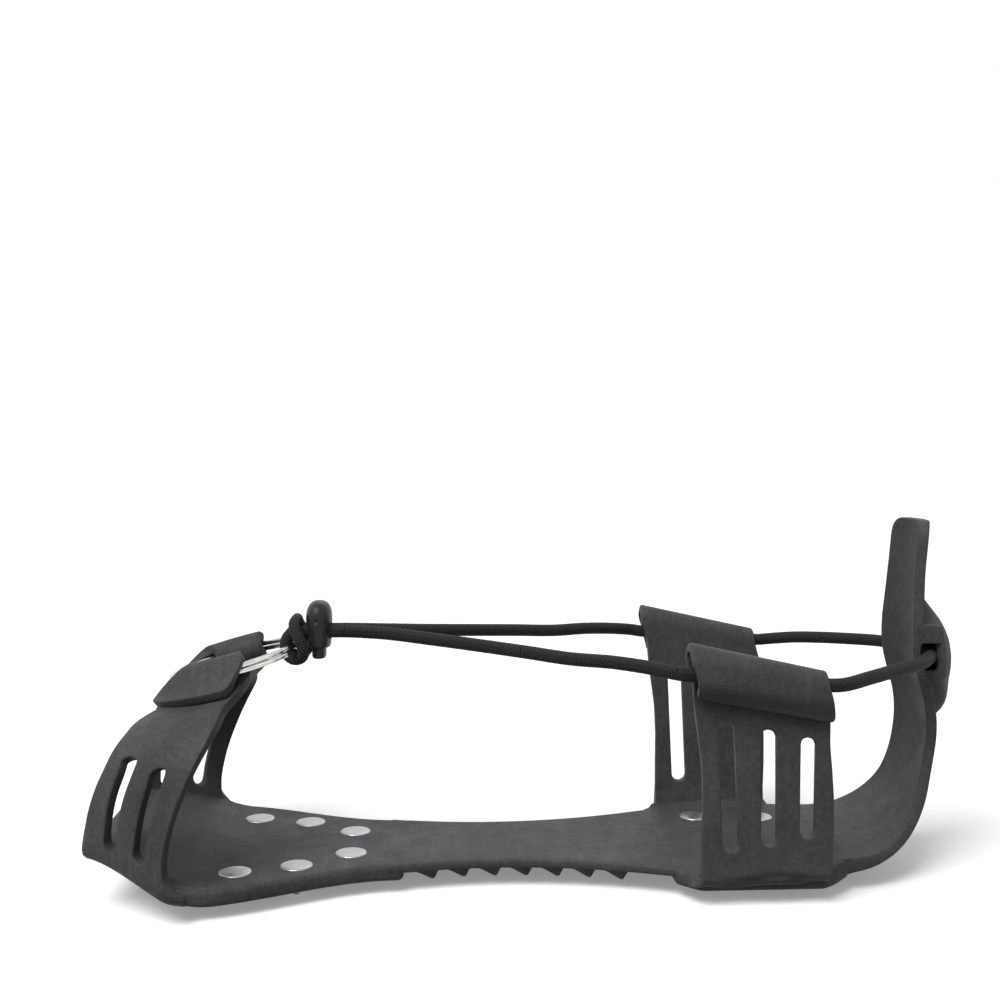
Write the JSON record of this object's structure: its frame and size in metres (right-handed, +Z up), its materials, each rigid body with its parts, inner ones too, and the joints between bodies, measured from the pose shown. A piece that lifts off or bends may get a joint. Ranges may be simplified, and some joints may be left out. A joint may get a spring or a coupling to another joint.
{
  "type": "pull-on ice cleat",
  "caption": "Rubber overshoe ice cleat with studded forefoot and heel plates, slotted side straps, split ring, elastic cord with cord lock, and heel pull tab.",
  "frame": {"origin": "on the ground under the middle of the cleat's box, at the level of the stud tips", "axes": "-X towards the toe, +X towards the heel, +Z up, -Y the wearer's left side, which the picture shows"},
  "size_m": [0.2768, 0.0984, 0.1139],
  "materials": {
    "rubber": "matte moulded charcoal black",
    "ring_steel": "polished nickel plate",
    "cord": "tight black braid",
    "lock_plastic": "satin black",
    "spring_steel": "bright wire",
    "stud_steel": "turned steel",
    "stud_tip": "ground hard metal"
  },
  "bodies": {
    "overshoe": {"forefoot_plate": "rubber", "arch_bridge": "rubber", "heel_plate": "rubber", "front_strap_left": "rubber", "front_strap_right": "rubber", "rear_strap_root_left": "rubber", "rear_strap_root_right": "rubber", "heel_strap_root": "rubber", "cord_hitch": "cord", "cord_strand_left": "cord", "cord_strand_right": "cord", "cord_front_run_left": "cord", "cord_front_run_right": "cord", "cord_rear_run_left": "cord", "cord_rear_run_right": "cord", "forefoot_studs": "stud_steel", "forefoot_stud_tips": "stud_tip", "heel_studs": "stud_steel", "heel_stud_tips": "stud_tip"},
    "ring": {"split_ring": "ring_steel"},
    "left_rear_strap": {"rear_strap_left": "rubber", "cord_strap_span_left": "cord"},
    "right_rear_strap": {"rear_strap_right": "rubber", "cord_strap_span_right": "cord"},
    "heel_band": {"heel_strap": "rubber", "pull_tab": "rubber", "cord_heel_span": "cord"},
    "cord_lock": {"lock_body": "lock_plastic", "lock_spring": "spring_steel"},
    "plunger": {"lock_plunger": "lock_plastic"}
  },
  "joints": [
    {"name": "heel_strap_bend", "type": "hinge", "parent": "overshoe", "child": "heel_band", "pos_m": [0.109, 0, 0.01], "axis": [0, 1, 0], "range_deg": [-8, 45], "stiffness_Nm_per_rad": 0.4, "deforming": ["heel_strap_root", "cord_rear_run_left", "cord_rear_run_right"]},
    {"name": "left_rear_strap_bend", "type": "hinge", "parent": "overshoe", "child": "left_rear_strap", "pos_m": [0.0665, -0.0395, 0.012], "axis": [1, 0, 0], "range_deg": [-8, 35], "stiffness_Nm_per_rad": 0.3, "deforming": ["rear_strap_root_left", "cord_front_run_left"]},
    {"name": "right_rear_strap_bend", "type": "hinge", "parent": "overshoe", "child": "right_rear_strap", "pos_m": [0.0665, 0.0395, 0.012], "axis": [-1, 0, 0], "range_deg": [-8, 35], "stiffness_Nm_per_rad": 0.3, "deforming": ["rear_strap_root_right", "cord_front_run_right"]},
    {"name": "ring_turn", "type": "hinge", "parent": "overshoe", "child": "ring", "pos_m": [-0.09706, 0, 0.06891], "axis": [-0.2588, 0, 0.9659], "continuous": true},
    {"name": "lock_slide", "type": "slide", "parent": "overshoe", "child": "cord_lock", "axis": [1, 0, 0], "range_m": [0, 0.03]},
    {"name": "plunger_press", "type": "slide", "parent": "cord_lock", "child": "plunger", "axis": [0, 0, 1], "range_m": [0, 0.0022], "stiffness_N_per_m": 900, "springref_m": -0.003, "deforming": ["lock_spring"]}
  ]
}
